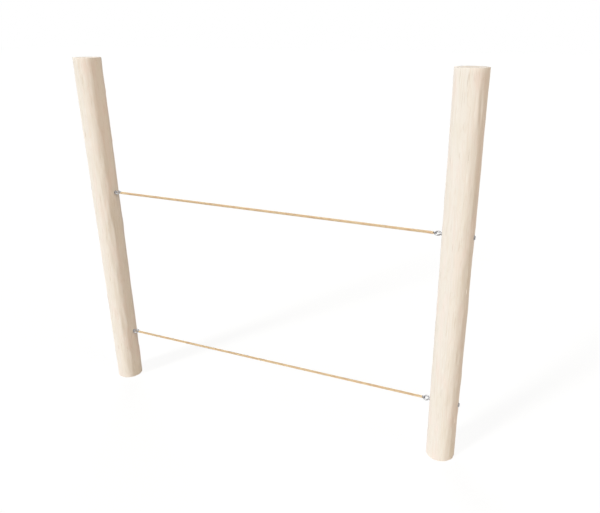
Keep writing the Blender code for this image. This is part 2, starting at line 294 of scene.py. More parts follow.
def turned(name, sides, stations):
    """A solid turned about Z: a disc extruded through (radius, height) stations.

    Where the last station is the first one again, the piece is a ring with a hole.
    """
    has_hole = stations[0] == stations[-1]
    bpy.ops.object.select_all(action="DESELECT")
    bpy.ops.mesh.primitive_circle_add(
        vertices=sides,
        radius=stations[0][0],
        fill_type="NOTHING" if has_hole else "NGON",
        location=(0, 0, stations[0][1]),
    )
    piece = bpy.context.active_object
    piece.name = name
    settle(piece)
    bpy.ops.object.mode_set(mode="EDIT")
    bpy.ops.mesh.select_mode(type="VERT")
    bpy.ops.mesh.select_all(action="SELECT")
    for (old_radius, old_height), (radius, height) in zip(stations, stations[1:]):
        bpy.ops.mesh.extrude_region_move(TRANSFORM_OT_translate={"value": (0, 0, height - old_height)})
        growth = radius / old_radius
        bpy.ops.transform.resize(value=(growth, growth, 1), center_override=(0, 0, 0))
    bpy.ops.mesh.select_all(action="SELECT")
    if has_hole:
        bpy.ops.mesh.remove_doubles(threshold=0.000001)
    bpy.ops.mesh.normals_make_consistent(inside=False)
    bpy.ops.object.mode_set(mode="OBJECT")
    return piece


def use_modifier(piece, kind, **settings):
    """Add a modifier and apply it."""
    modifier = piece.modifiers.new(kind.title(), kind)
    for name, value in settings.items():
        setattr(modifier, name, value)
    bpy.ops.object.select_all(action="DESELECT")
    bpy.context.view_layer.objects.active = piece
    bpy.ops.object.modifier_apply(modifier=modifier.name)


def cut(piece, tool, operation="DIFFERENCE"):
    """Cut a piece with a tool, or join or intersect the two, and throw the tool away.

    The walls that are cut keep the tool's material.
    """
    use_modifier(
        piece, "BOOLEAN", operation=operation, solver="EXACT", material_mode="TRANSFER", object=tool
    )
    bpy.data.objects.remove(tool, do_unlink=True)


def coat(piece, material):
    """Give a piece one material all over, also where a cut left an empty slot."""
    piece.data.materials.clear()
    piece.data.materials.append(material)
    for face in piece.data.polygons:
        face.material_index = 0


def joined(name, pieces):
    """Make several pieces into one object."""
    bpy.ops.object.select_all(action="DESELECT")
    for piece in pieces:
        piece.select_set(True)
    bpy.context.view_layer.objects.active = pieces[0]
    bpy.ops.object.join()
    pieces[0].name = name
    return pieces[0]


def laid_along_bolt(piece, side, level, roll=0):
    """Turn a piece that stands on Z so that its Z runs along a bolt, from the post's axis inwards.

    It is then rolled about the bolt.
    """
    piece.rotation_euler = (0, math.pi / 2, BOLT_TURN[side])
    settle(piece)
    piece.rotation_euler = (roll, 0, 0)
    piece.location = (POST_X[side], 0, ROPE_HEIGHT[level])
    settle(piece)
    return piece


def shade(piece, degrees=35):
    """Shade a piece smooth, except across edges sharper than an angle."""
    bpy.ops.object.select_all(action="DESELECT")
    piece.select_set(True)
    bpy.context.view_layer.objects.active = piece
    bpy.ops.object.shade_smooth_by_angle(angle=math.radians(degrees))


def select_edges(piece, wanted):
    """In edit mode, select the edges whose two ends pass a test."""
    bpy.ops.mesh.select_all(action="DESELECT")
    bpy.ops.mesh.select_mode(type="EDGE")
    shape = bmesh.from_edit_mesh(piece.data)
    for edge in shape.edges:
        edge.select_set(wanted(edge.verts[0].co, edge.verts[1].co))
    bmesh.update_edit_mesh(piece.data)


def select_end(piece, height):
    """In edit mode, select the one face that closes a post at a height."""
    bpy.ops.mesh.select_mode(type="FACE")
    bpy.ops.mesh.select_all(action="DESELECT")
    shape = bmesh.from_edit_mesh(piece.data)
    for face in shape.faces:
        face.select_set(len(face.verts) > 4 and abs(face.calc_center_median().z - height) < 0.001)
    bmesh.update_edit_mesh(piece.data)


POST_SIDES = 180
POST_RINGS = 160
TOP_ROUNDING = 0.0015
END_BAND_WIDTH = 0.011
END_BANDS = 7


def sawn_trunk(name, x):
    """A round trunk with its top edge eased, rings of faces up its side and bands across its ends."""
    bpy.ops.object.select_all(action="DESELECT")
    bpy.ops.mesh.primitive_cylinder_add(
        vertices=POST_SIDES, radius=POST_RADIUS, depth=POST_HEIGHT, location=(x, 0, POST_HEIGHT / 2)
    )
    trunk = bpy.context.active_object
    trunk.name = name
    settle(trunk)
    bpy.ops.object.mode_set(mode="EDIT")
    select_edges(trunk, lambda one, other: min(one.z, other.z) > POST_HEIGHT / 2)
    bpy.ops.mesh.bevel(offset=TOP_ROUNDING, segments=3, affect="EDGES")
    select_edges(trunk, lambda one, other: abs(one.z - other.z) > POST_HEIGHT / 2)
    bpy.ops.mesh.subdivide(number_cuts=POST_RINGS)
    for height in (POST_HEIGHT, 0):
        select_end(trunk, height)
        for band in range(END_BANDS):
            bpy.ops.mesh.inset(thickness=END_BAND_WIDTH)
        bpy.ops.mesh.poke()
    bpy.ops.object.mode_set(mode="OBJECT")
    return trunk


# Drawknife strokes in lanes down the trunk, and the lumps and hollows that show through them
KNIFE_SEED = 11
STROKE_LANES = 22
LANE_STRAY = 0.6
STROKE_RUN_IN = 0.3
STROKE_LENGTHS = (0.07, 0.26)
STROKE_SPACINGS = (0.5, 1.3)
STROKE_DEPTHS = (0.0003, 0.0019)
STROKE_HALF_ANGLE = math.pi / 8
LUMP_COUNT = 420
LUMP_WIDTHS = (0.006, 0.014)
LUMP_LENGTHS = (0.03, 0.09)
LUMP_HEIGHT = 0.0020
WASHER_ROOM = 0.025
DEPTH_BY_WASHERS = 0.0005
DEPTH_GROWTH = 0.03


def peel(trunk, x, seed):
    """Shave the trunk with drawknife strokes: long planes that each take a sliver off the round.

    The trunk's own lumps and hollows show through. All are kept shallow round the bolts, where the washers
    bear.
    """
    knife = random.Random(seed)
    strokes = []
    for lane in range(STROKE_LANES):
        height = knife.uniform(-STROKE_RUN_IN, 0)
        while height < POST_HEIGHT:
            length = knife.uniform(*STROKE_LENGTHS)
            angle = 2 * math.pi * (lane + knife.uniform(-LANE_STRAY, LANE_STRAY)) / STROKE_LANES
            strokes.append((angle, height + length / 2, length, knife.uniform(*STROKE_DEPTHS)))
            height += length * knife.uniform(*STROKE_SPACINGS)
    points = np.zeros(len(trunk.data.vertices) * 3)
    trunk.data.vertices.foreach_get("co", points)
    points = points.reshape(-1, 3)
    across = points[:, :2] - (x, 0)
    around = np.arctan2(across[:, 1], across[:, 0])
    surface = np.full(len(points), POST_RADIUS)
    for angle, middle, length, depth in strokes:
        off_angle = (around - angle + math.pi) % (2 * math.pi) - math.pi
        share = 1 - ((points[:, 2] - middle) / (length / 2)) ** 2
        met = (share > 0) & (np.abs(off_angle) < STROKE_HALF_ANGLE)
        plane = (POST_RADIUS - depth * share[met]) / np.cos(off_angle[met])
        surface[met] = np.minimum(surface[met], plane)
    for lump in range(LUMP_COUNT):
        off_angle = (around - knife.uniform(0, 2 * math.pi) + math.pi) % (2 * math.pi) - math.pi
        off_side = off_angle * POST_RADIUS / knife.uniform(*LUMP_WIDTHS)
        off_height = (points[:, 2] - knife.uniform(0, POST_HEIGHT)) / knife.uniform(*LUMP_LENGTHS)
        surface += knife.uniform(-LUMP_HEIGHT, LUMP_HEIGHT) * np.exp(-off_side ** 2 - off_height ** 2)
    for height in ROPE_HEIGHT.values():
        off_bolt = np.hypot(points[:, 1], points[:, 2] - height)
        deepest = DEPTH_BY_WASHERS + DEPTH_GROWTH * np.maximum(0, off_bolt - WASHER_ROOM)
        surface = np.clip(surface, POST_RADIUS - deepest, POST_RADIUS + deepest)
    points[:, :2] = (x, 0) + across * (surface / POST_RADIUS)[:, None]
    trunk.data.vertices.foreach_set("co", points.ravel())
    trunk.data.update()


# Drying cracks and splinters. The golden share of a turn from one to the next spreads them round the trunk
GOLDEN_SHARE = 0.618
CHECK_SEED = 5
CHECK_COUNT = 30
CHECK_LENGTHS = (0.040, 0.095)
CHECK_WIDTHS = (0.0005, 0.0011)
CHECK_DEPTH = 0.005
CHECK_TILT = 0.04
END_CHECK_COUNT = 7
END_CHECK_STARTS = (0.010, 0.030)
END_CHECK_LENGTHS = (0.018, 0.050)
END_CHECK_WIDTH = 0.0013
SPLINTER_SEED = 21
SPLINTER_COUNT = 34
SPLINTER_LENGTHS = (0.030, 0.065)
SPLINTER_WIDTHS = (0.0035, 0.0065)
SPLINTER_HEIGHT = 0.0024
SPLINTER_SINK = 0.0006
SPLINTER_TILT = 0.03


def wedge(place, turn, sizes):
    """A slender eight-sided wedge, tapered to a point at both ends, for a drying crack or a splinter."""
    bpy.ops.object.select_all(action="DESELECT")
    bpy.ops.mesh.primitive_uv_sphere_add(segments=4, ring_count=2, radius=1)
    tool = bpy.context.active_object
    tool.scale = sizes
    tool.rotation_euler = turn
    tool.location = place
    settle(tool)
    return tool


def drying_cracks(x, seed):
    """Short cracks along the grain on the side, and longer ones out from the pith on the top."""
    weather = random.Random(seed)
    tools = []
    for crack in range(CHECK_COUNT):
        angle = 2 * math.pi * (crack * GOLDEN_SHARE + weather.uniform(-0.1, 0.1))
        height = POST_HEIGHT * (crack + weather.uniform(0.1, 0.9)) / CHECK_COUNT
        place = (x + POST_RADIUS * math.cos(angle), POST_RADIUS * math.sin(angle), height)
        sizes = (CHECK_DEPTH, weather.uniform(*CHECK_WIDTHS) / 2, weather.uniform(*CHECK_LENGTHS) / 2)
        tools.append(wedge(place, (weather.uniform(-CHECK_TILT, CHECK_TILT), 0, angle), sizes))
    for crack in range(END_CHECK_COUNT):
        angle = 2 * math.pi * (crack + weather.uniform(0.1, 0.9)) / END_CHECK_COUNT
        length = weather.uniform(*END_CHECK_LENGTHS)
        reach = weather.uniform(*END_CHECK_STARTS) + length / 2
        place = (x + reach * math.cos(angle), reach * math.sin(angle), POST_HEIGHT)
        tools.append(wedge(place, (0, 0, angle), (length / 2, END_CHECK_WIDTH / 2, CHECK_DEPTH)))
    return joined("drying_cracks", tools)


def splinters(x, seed):
    """Splinters that the knife lifted and left: short slender ridges along the grain."""
    weather = random.Random(seed)
    ridges = []
    for splinter in range(SPLINTER_COUNT):
        angle = 2 * math.pi * (splinter * GOLDEN_SHARE + weather.uniform(-0.1, 0.1))
        width = weather.uniform(*SPLINTER_WIDTHS)
        length = weather.uniform(*SPLINTER_LENGTHS)
        share = (splinter + weather.uniform(0.2, 0.8)) / SPLINTER_COUNT
        height = length + (POST_HEIGHT - 2 * length) * share
        out = POST_RADIUS - SPLINTER_SINK
        place = (x + out * math.cos(angle), out * math.sin(angle), height)
        turn = (weather.uniform(-SPLINTER_TILT, SPLINTER_TILT), 0, angle)
        ridges.append(wedge(place, turn, (SPLINTER_HEIGHT, width / 2, length / 2)))
    return joined("splinters", ridges)


# Bolt holes and their seats, and the gap that is left between pieces that press together
BOLT_RADIUS = 0.006
BOLT_PLAY = 0.0005
BORE_RADIUS = BOLT_RADIUS + BOLT_PLAY
SEAT_MARGIN = 0.0005
TOUCH_GAP = 0.0003


def washer_reach(name):
    """A washer's radius, and where its two faces lie, measured inwards from the left post's axis."""
    low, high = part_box(name)
    return (high.y - low.y) / 2, low.x - POST_X["left"], high.x - POST_X["left"]


inner_washer_radius, inner_washer_start, inner_washer_end = washer_reach("upper_left_inner_washer")
outer_washer_radius, outer_washer_end, outer_washer_start = washer_reach("upper_left_outer_washer")


def bolt_hole():
    """The tool for one bolt's hole: a bore with a flat counterbore at each end for the washers."""
    beyond = POST_RADIUS + 0.010
    inner_radius = inner_washer_radius + SEAT_MARGIN
    outer_radius = outer_washer_radius + SEAT_MARGIN
    return turned("bolt_hole", 48, [
        (inner_radius, beyond),
        (inner_radius, inner_washer_start - TOUCH_GAP),
        (BORE_RADIUS, inner_washer_start - TOUCH_GAP),
        (BORE_RADIUS, outer_washer_start + TOUCH_GAP),
        (outer_radius, outer_washer_start + TOUCH_GAP),
        (outer_radius, -beyond),
    ])


SAWN_DEPTH = 0.0002


def finish_wood(post, side_grain, end_grain):
    """Give the peeled side and the two sawn ends their own materials."""
    post.data.materials.append(side_grain)
    post.data.materials.append(end_grain)
    for face in post.data.polygons:
        from_end = min(face.center.z, POST_HEIGHT - face.center.z)
        face.material_index = 1 if from_end < SAWN_DEPTH else 0


torn_wood = split_wood("torn_softwood")
for number, side in enumerate(SIDES):
    x = POST_X[side]
    post = sawn_trunk(f"{side}_peeled_post", x)
    peel(post, x, KNIFE_SEED + number)
    finish_wood(post, peeled_side(f"peeled_softwood_{side}", x), sawn_end(f"sawn_softwood_{side}", x))
    cut(post, splinters(x, SPLINTER_SEED + number), "UNION")
    tools = [drying_cracks(x, CHECK_SEED + number)]
    tools += [laid_along_bolt(bolt_hole(), side, level) for level in LEVELS]
    for tool in tools:
        coat(tool, torn_wood)
        cut(post, tool)
    shade(post)
    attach(post, "frame")
    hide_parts(f"{side}_post")

# Eye bolts
# Forged stainless eye bolts. The ring lies across the rope, turned a little towards the viewer, and stands
# on a flared neck above a collar. The long shank, threaded at its end, goes right through the post.
RING_BAR_RADIUS = 0.005
RING_TURN = math.radians(20)
RING_SINK = 0.0015
NECK_HEIGHT = 0.0055
NECK_TOP_RADIUS = 0.0047
NECK_WAIST_RADIUS = 0.0058
NECK_WAIST_HEIGHT = 0.0018
NECK_FOOT_RADIUS = 0.0080
NECK_FOOT_HEIGHT = 0.0004
COLLAR_EDGE = 0.0008
SHANK_OVERLAP = 0.0015
THREAD_PITCH = 0.00175
THREAD_DEPTH = 0.00100
THREAD_SINK = 0.0002
THREAD_CREST = 0.0002
THREAD_BASE = THREAD_PITCH * 0.88
THREAD_TURNS = 18
END_CHAMFER = 0.0015
FORGING_VOXEL = 0.0005
CLOUD_WIDTH = 0.00625
GRIT_WIDTH = 0.00055556

bolt_low, bolt_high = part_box("upper_left_eye_bolt")
COLLAR_RADIUS = (bolt_high.z - bolt_low.z) / 2
RING_RADIUS = ((bolt_high.y - bolt_low.y) / 2 - RING_BAR_RADIUS) / math.cos(RING_TURN)
RING_REACH = bolt_high.x - POST_X["left"]
RING_CENTRE = RING_REACH - RING_RADIUS - RING_BAR_RADIUS
BOLT_END = POST_X["left"] - bolt_low.x
COLLAR_START = inner_washer_end + TOUCH_GAP
COLLAR_END = RING_CENTRE - RING_RADIUS - RING_BAR_RADIUS + RING_SINK
THREAD_ROOT = BOLT_RADIUS - THREAD_DEPTH


def tumbled_stainless(name, base, shadow, roughness):
    """Formed stainless steel, tumbled in grit: a soft grey sheen with cloudy, duller patches.

    The grit's dents are drawn coarser than real, so that they show.
    """
    material, tree, surface = new_material(name)
    place = add_node(tree, "TexCoord", output="Object")
    cloud = add_node(
        tree, "TexNoise", {"Vector": place, "Scale": 1 / CLOUD_WIDTH, "Detail": 3, "Roughness": 0.6}
    )
    grit = add_node(tree, "TexNoise", {"Vector": place, "Scale": 1 / GRIT_WIDTH, "Detail": 2})
    colour = add_node(tree, "ValToRGB", {"Fac": cloud}, stops=((0.35, shadow), (0.65, base)))
    tree.links.new(colour, surface.inputs["Base Color"])
    dullness = add_node(
        tree, "MapRange",
        {
            "Value": cloud, "From Min": 0.3, "From Max": 0.7,
            "To Min": roughness + 0.10, "To Max": roughness - 0.06,
        },
    )
    tree.links.new(dullness, surface.inputs["Roughness"])
    bump = add_node(tree, "Bump", {"Height": grit, "Strength": 0.12, "Distance": 0.0001})
    tree.links.new(bump, surface.inputs["Normal"])
    surface.inputs["Metallic"].default_value = 1.0
    return material


def forged_head():
    """The ring, neck and collar as one forging, with the soft inner corners that a die leaves."""
    bpy.ops.object.select_all(action="DESELECT")
    bpy.ops.mesh.primitive_torus_add(
        major_radius=RING_RADIUS,
        minor_radius=RING_BAR_RADIUS,
        major_segments=72,
        minor_segments=24,
        location=(0, 0, RING_CENTRE),
        rotation=(0, math.pi / 2, 0),
    )
    ring = bpy.context.active_object
    settle(ring)
    collar = turned("collar", 64, [
        (COLLAR_RADIUS - COLLAR_EDGE, COLLAR_START),
        (COLLAR_RADIUS, COLLAR_START + COLLAR_EDGE),
        (COLLAR_RADIUS, COLLAR_END - COLLAR_EDGE),
        (COLLAR_RADIUS - COLLAR_EDGE, COLLAR_END),
        (NECK_FOOT_RADIUS, COLLAR_END + NECK_FOOT_HEIGHT),
        (NECK_WAIST_RADIUS, COLLAR_END + NECK_WAIST_HEIGHT),
        (NECK_TOP_RADIUS, COLLAR_END + NECK_HEIGHT),
    ])
    head = joined("forged_head", [ring, collar])
    use_modifier(head, "REMESH", mode="VOXEL", voxel_size=FORGING_VOXEL, use_smooth_shade=True)
    use_modifier(head, "SMOOTH", factor=0.5, iterations=5)
    return head


def thread_ridge():
    """The ridge of a metric thread, wound round the end of the shank."""
    inner = THREAD_ROOT - THREAD_SINK
    low = -BOLT_END + END_CHAMFER + THREAD_PITCH / 2
    mesh = bpy.data.meshes.new("thread_ridge")
    mesh.from_pydata(
        [
            (inner, 0, low - THREAD_BASE / 2),
            (BOLT_RADIUS, 0, low - THREAD_CREST / 2),
            (BOLT_RADIUS, 0, low + THREAD_CREST / 2),
            (inner, 0, low + THREAD_BASE / 2),
        ],
        [(0, 1), (1, 2), (2, 3), (3, 0)], [],
    )
    ridge = bpy.data.objects.new("thread_ridge", mesh)
    bpy.context.scene.collection.objects.link(ridge)
    use_modifier(
        ridge, "SCREW", axis="Z", screw_offset=THREAD_PITCH, iterations=THREAD_TURNS,
        steps=24, render_steps=24, use_merge_vertices=False,
    )
    bpy.ops.object.mode_set(mode="EDIT")
    bpy.ops.mesh.select_all(action="SELECT")
    bpy.ops.mesh.fill_holes(sides=4)
    bpy.ops.mesh.normals_make_consistent(inside=False)
    bpy.ops.object.mode_set(mode="OBJECT")
    return ridge


def eye_bolt():
    """Shank, thread and forged head as one piece, standing on Z with the post's axis at its origin."""
    thread_top = -BOLT_END + END_CHAMFER + THREAD_PITCH * (THREAD_TURNS + 1)
    shank = turned("eye_bolt", 48, [
        (BOLT_RADIUS - END_CHAMFER, -BOLT_END),
        (THREAD_ROOT, -BOLT_END + END_CHAMFER - THREAD_DEPTH),
        (THREAD_ROOT, thread_top),
        (BOLT_RADIUS, thread_top + THREAD_DEPTH),
        (BOLT_RADIUS, COLLAR_START + SHANK_OVERLAP),
    ])
    cut(shank, thread_ridge(), "UNION")
    cut(shank, forged_head(), "UNION")
    shade(shank, 40)
    return shank


def copied(pattern, name):
    """A copy of a piece, with its own mesh."""
    copy = pattern.copy()
    copy.data = pattern.data.copy()
    copy.name = name
    bpy.context.scene.collection.objects.link(copy)
    return copy


def fit_at_bolts(pattern, kind, bodies=("frame", "frame"), roll=0):
    """Put a copy of a steel piece at each of the four bolts in place of its CAD node."""
    for level, body in zip(LEVELS, bodies):
        for side in SIDES:
            piece = laid_along_bolt(copied(pattern, f"{level}_{side}_steel_{kind}"), side, level, roll)
            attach(piece, body)
            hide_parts(f"{level}_{side}_{kind}")
    bpy.data.objects.remove(pattern, do_unlink=True)


forged_steel = tumbled_stainless("forged_stainless", "#B6B6B8", "#9A9A9D", 0.55)
pattern = eye_bolt()
coat(pattern, forged_steel)
fit_at_bolts(pattern, "eye_bolt", roll=RING_TURN)

# Washers
# Flat stainless washers, punched from sheet: a narrow one under each collar, and a wide one under each nut
# that spreads the rope's pull over the wood.
PUNCHED_EDGE = 0.0005

punched_steel = tumbled_stainless("punched_stainless", "#BCBCBE", "#9A9A9D", 0.42)


def washer(name, radius, low, high):
    """A flat ring between two distances from the post's axis, with its punched edges eased."""
    outline = [(BORE_RADIUS, low), (radius, low), (radius, high), (BORE_RADIUS, high)]
    ring = turned(name, 64, outline + outline[:1])
    use_modifier(
        ring, "BEVEL", width=PUNCHED_EDGE, segments=3, limit_method="ANGLE", angle_limit=math.radians(60)
    )
    coat(ring, punched_steel)
    shade(ring)
    return ring


fit_at_bolts(washer("inner", inner_washer_radius, inner_washer_start, inner_washer_end), "inner_washer")
fit_at_bolts(washer("outer", outer_washer_radius, outer_washer_end, outer_washer_start), "outer_washer")

# Nuts
# Thin stainless hexagon nuts, cold formed with both faces chamfered at 30 degrees. They draw the eye bolts
# tight against the posts.
NUT_CHAMFER = math.radians(30)
NUT_CHAMFER_REACH = 0.0006
NUT_EDGE = 0.00025
COUNTERSINK = 0.0009
HEXAGON_BAR_LENGTH = 0.03

nut_low, nut_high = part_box("upper_left_nut")
NUT_FLAT_RADIUS = (nut_high.z - nut_low.z) / 2
NUT_START = POST_X["left"] - nut_high.x
NUT_END = POST_X["left"] - nut_low.x


def nut():
    """A hexagon cut out of a disc with two chamfered faces, then bored and countersunk."""
    corner = NUT_FLAT_RADIUS / math.cos(math.pi / 6)
    face = NUT_FLAT_RADIUS - NUT_CHAMFER_REACH
    rim = corner + NUT_CHAMFER_REACH
    drop = (rim - face) * math.tan(NUT_CHAMFER)
    piece = turned("nut", 96, [
        (face, -NUT_START),
        (rim, -NUT_START - drop),
        (rim, -NUT_END + drop),
        (face, -NUT_END),
    ])
    bpy.ops.object.select_all(action="DESELECT")
    bpy.ops.mesh.primitive_cylinder_add(
        vertices=6, radius=corner, depth=HEXAGON_BAR_LENGTH, location=(0, 0, -(NUT_START + NUT_END) / 2)
    )
    hexagon = bpy.context.active_object
    settle(hexagon)
    cut(piece, hexagon, "INTERSECT")
    bore = BOLT_RADIUS + TOUCH_GAP
    beyond = 0.001
    cut(piece, turned("nut_bore", 48, [
        (bore + COUNTERSINK + beyond, -NUT_START + beyond),
        (bore, -NUT_START - COUNTERSINK),
        (bore, -NUT_END + COUNTERSINK),
        (bore + COUNTERSINK + beyond, -NUT_END - beyond),
    ]))
    use_modifier(
        piece, "BEVEL", width=NUT_EDGE, segments=2, limit_method="ANGLE", angle_limit=math.radians(40)
    )
    coat(piece, punched_steel)
    shade(piece, 30)
    return piece


fit_at_bolts(nut(), "nut")

# Rope terminals
# Flat stainless eyes that hang on the bolts' rings. A hollow tail, pressed onto the wire core, runs into
# each end of a rope and is wrapped by its strands.
ROPE_BODIES = ("hand_rope", "foot_rope")
EYE_EDGE = 0.0008
EYE_WALL = 0.00325
EYE_THICKNESS = 0.006
EYE_HOLE_RADIUS = 0.0065
EYE_FLARE = 0.0012
EYE_RADIUS = EYE_HOLE_RADIUS + EYE_WALL
TAIL_WALL = 0.0017
TAIL_EDGE = 0.0006
TAIL_SHOULDER = 0.0004
TAIL_ROOT = 0.0015
TAIL_SOLID_LENGTH = 0.006
CORE_RADIUS = 0.003
CORE_ROOM_RADIUS = CORE_RADIUS + TOUCH_GAP
TAIL_RADIUS = CORE_ROOM_RADIUS + TAIL_WALL

terminal_low, terminal_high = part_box("upper_left_rope_terminal")
EYE_CENTRE = terminal_low.x - POST_X["left"] + EYE_RADIUS
EYE_REACH = EYE_CENTRE + EYE_RADIUS
TAIL_END = terminal_high.x - POST_X["left"]


def rope_terminal():
    """The eye with its flared hole, and the tail turned on to it."""
    bpy.ops.object.select_all(action="DESELECT")
    bpy.ops.mesh.primitive_cylinder_add(
        vertices=72, radius=EYE_RADIUS, depth=EYE_THICKNESS, location=(0, 0, EYE_CENTRE),
        rotation=(math.pi / 2, 0, 0),
    )
    eye = bpy.context.active_object
    eye.name = "rope_terminal"
    settle(eye)
    use_modifier(
        eye, "BEVEL", width=EYE_EDGE, segments=3, limit_method="ANGLE", angle_limit=math.radians(60)
    )
    face = EYE_THICKNESS / 2
    tail = turned("tail", 48, [
        (face, EYE_CENTRE + EYE_HOLE_RADIUS + TAIL_ROOT),
        (TAIL_RADIUS - TAIL_SHOULDER, EYE_REACH),
        (TAIL_RADIUS, EYE_REACH + TAIL_EDGE),
        (TAIL_RADIUS, TAIL_END - TAIL_EDGE),
        (TAIL_RADIUS - TAIL_EDGE, TAIL_END),
        (CORE_ROOM_RADIUS, TAIL_END),
        (CORE_ROOM_RADIUS, EYE_REACH + TAIL_SOLID_LENGTH),
    ])
    cut(eye, tail, "UNION")
    beyond = 0.002
    hole = turned("eye_hole", 72, [
        (EYE_HOLE_RADIUS + EYE_FLARE + beyond, face + beyond),
        (EYE_HOLE_RADIUS, face - EYE_FLARE),
        (EYE_HOLE_RADIUS, EYE_FLARE - face),
        (EYE_HOLE_RADIUS + EYE_FLARE + beyond, -face - beyond),
    ])
    hole.location = (0, 0, EYE_CENTRE)
    hole.rotation_euler = (math.pi / 2, 0, 0)
    settle(hole)
    cut(eye, hole)
    coat(eye, forged_steel)
    shade(eye, 40)
    return eye


fit_at_bolts(rope_terminal(), "rope_terminal", bodies=ROPE_BODIES, roll=RING_TURN)

# Rope cores
# A galvanised wire rope runs through the middle of each fibre rope, six wires laid round a straight one. It
# carries the climber's weight from terminal to terminal.
OUTER_WIRES = 6
WIRE_RADIUS = 0.00098
WIRE_LAY = 0.045
WIRE_STEP = 0.004
WIRE_SIDES = 8
SPANGLE_WIDTH = 0.002
U_PER_STRAND = 10.0


def galvanised_wire(name):
    """Drawn steel wire, zinc coated: light grey, slightly mottled and duller than bright steel."""
    material, tree, surface = new_material(name)
    place = add_node(tree, "TexCoord", output="Object")
    spangle = add_node(tree, "TexNoise", {"Vector": place, "Scale": 1 / SPANGLE_WIDTH, "Detail": 2})
    colour = add_node(
        tree, "ValToRGB", {"Fac": spangle}, stops=((0.35, "#8E9093"), (0.65, "#B4B6B8")),
    )
    tree.links.new(colour, surface.inputs["Base Color"])
    surface.inputs["Metallic"].default_value = 1.0
    surface.inputs["Roughness"].default_value = 0.45
    return material


def strand_section(x, height, angle, centre_radius, half_depth, half_width):
    """A strand's middle at x, with its half depth outward and its half width round the rope, as vectors."""
    outward = np.array((0, math.sin(angle), math.cos(angle)))
    sideways = np.array((0, math.cos(angle), -math.sin(angle)))
    middle = np.array((x, 0, height)) + outward * centre_radius
    return middle, outward * half_depth, sideways * half_width


def strand_mesh(shape, coordinates, sections, sides, number):
    """Skin a row of sections with quads, close its two ends, and lay out its UV map.

    U is the length along the strand in metres, moved on for each strand, and V goes once round it.
    """
    turns = [2 * math.pi * side / sides for side in range(sides)]
    rings = []
    along = []
    travelled = U_PER_STRAND * number
    for index, (middle, outward, sideways) in enumerate(sections):
        if index:
            travelled += float(np.linalg.norm(middle - sections[index - 1][0]))
        points = [middle + outward * math.cos(turn) + sideways * math.sin(turn) for turn in turns]
        rings.append([shape.verts.new(point) for point in points])
        along.append(travelled)
    for index in range(len(rings) - 1):
        for side in range(sides):
            following = (side + 1) % sides
            face = shape.faces.new((
                rings[index][side], rings[index][following],
                rings[index + 1][following], rings[index + 1][side],
            ))
            face.smooth = True
            places = ((index, side), (index, side + 1), (index + 1, side + 1), (index + 1, side))
            for corner, (ring, step) in zip(face.loops, places):
                corner[coordinates].uv = (along[ring], step / sides)
    for ring, length in ((rings[0], along[0]), (rings[-1], along[-1])):
        cap = shape.faces.new(ring if ring is rings[-1] else list(reversed(ring)))
        for corner in cap.loops:
            corner[coordinates].uv = (length, 0.5)


def rope_object(name, strands, sides):
    """One mesh object from rows of strand sections."""
    shape = bmesh.new()
    coordinates = shape.loops.layers.uv.new("along_strand")
    for number, sections in enumerate(strands):
        strand_mesh(shape, coordinates, sections, sides, number)
    bmesh.ops.recalc_face_normals(shape, faces=shape.faces)
    mesh = bpy.data.meshes.new(name)
    shape.to_mesh(mesh)
    shape.free()
    rope = bpy.data.objects.new(name, mesh)
    bpy.context.scene.collection.objects.link(rope)
    return rope


def wire_core(name, level):
    """One straight wire with the others laid round it, as long as the CAD core."""
    low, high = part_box(f"{level}_rope_core")
    half = (high.x - low.x) / 2
    height = ROPE_HEIGHT[level]
    wires = [[strand_section(x, height, 0, 0, WIRE_RADIUS, WIRE_RADIUS) for x in (-half, half)]]
    for wire in range(OUTER_WIRES):
        sections = []
        for x in np.linspace(-half, half, round(2 * half / WIRE_STEP) + 1):
            angle = 2 * math.pi * (wire / OUTER_WIRES + x / WIRE_LAY)
            sections.append(strand_section(x, height, angle, 2 * WIRE_RADIUS, WIRE_RADIUS, WIRE_RADIUS))
        wires.append(sections)
    return rope_object(name, wires, WIRE_SIDES)


zinc = galvanised_wire("galvanised_wire")
for level, body in zip(LEVELS, ROPE_BODIES):
    core = wire_core(f"{level}_wire_core", level)
    coat(core, zinc)
    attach(core, body)
    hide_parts(f"{level}_rope_core")

# Ropes
# Six strands of twisted polyester yarn, hemp coloured, laid round the wire core with a right-hand lay. At
# each end they spread over the terminal's tail, and the two that lie beside the eye reach furthest.
STRANDS = 6
USUAL_LAY = 0.120
STRAND_STEP = 0.004
STRAND_SIDES = 14
STRAND_OVERLAP = 1.02
WIDENED_OVER_TAIL = 0.08
SPREAD_LENGTH = 0.012
CORE_GAP = 0.0001
YARNS = 9
YARN_LAY = 0.022
FUZZ_WIDTH = 0.0011111
HANDLED_WIDTH = 0.0357

rope_low, rope_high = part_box("upper_rope")
ROPE_RADIUS = (rope_high.z - rope_low.z) / 2
ROPE_HALF_LENGTH = (rope_high.x - rope_low.x) / 2
ROPE_LENGTH = 2 * ROPE_HALF_LENGTH
TAIL_HALF_SPAN = POST_X["right"] - TAIL_END
EYE_HALF_SPAN = POST_X["right"] - EYE_REACH - TOUCH_GAP

# The lay is trimmed to a whole number of sixths of a turn, so that the strands meet both eyes alike
ROPE_END = (ROPE_HALF_LENGTH + EYE_HALF_SPAN) / 2
SIXTH_TURNS = round(ROPE_LENGTH / USUAL_LAY * STRANDS)
ROPE_LAY = STRANDS * 2 * ROPE_END / SIXTH_TURNS


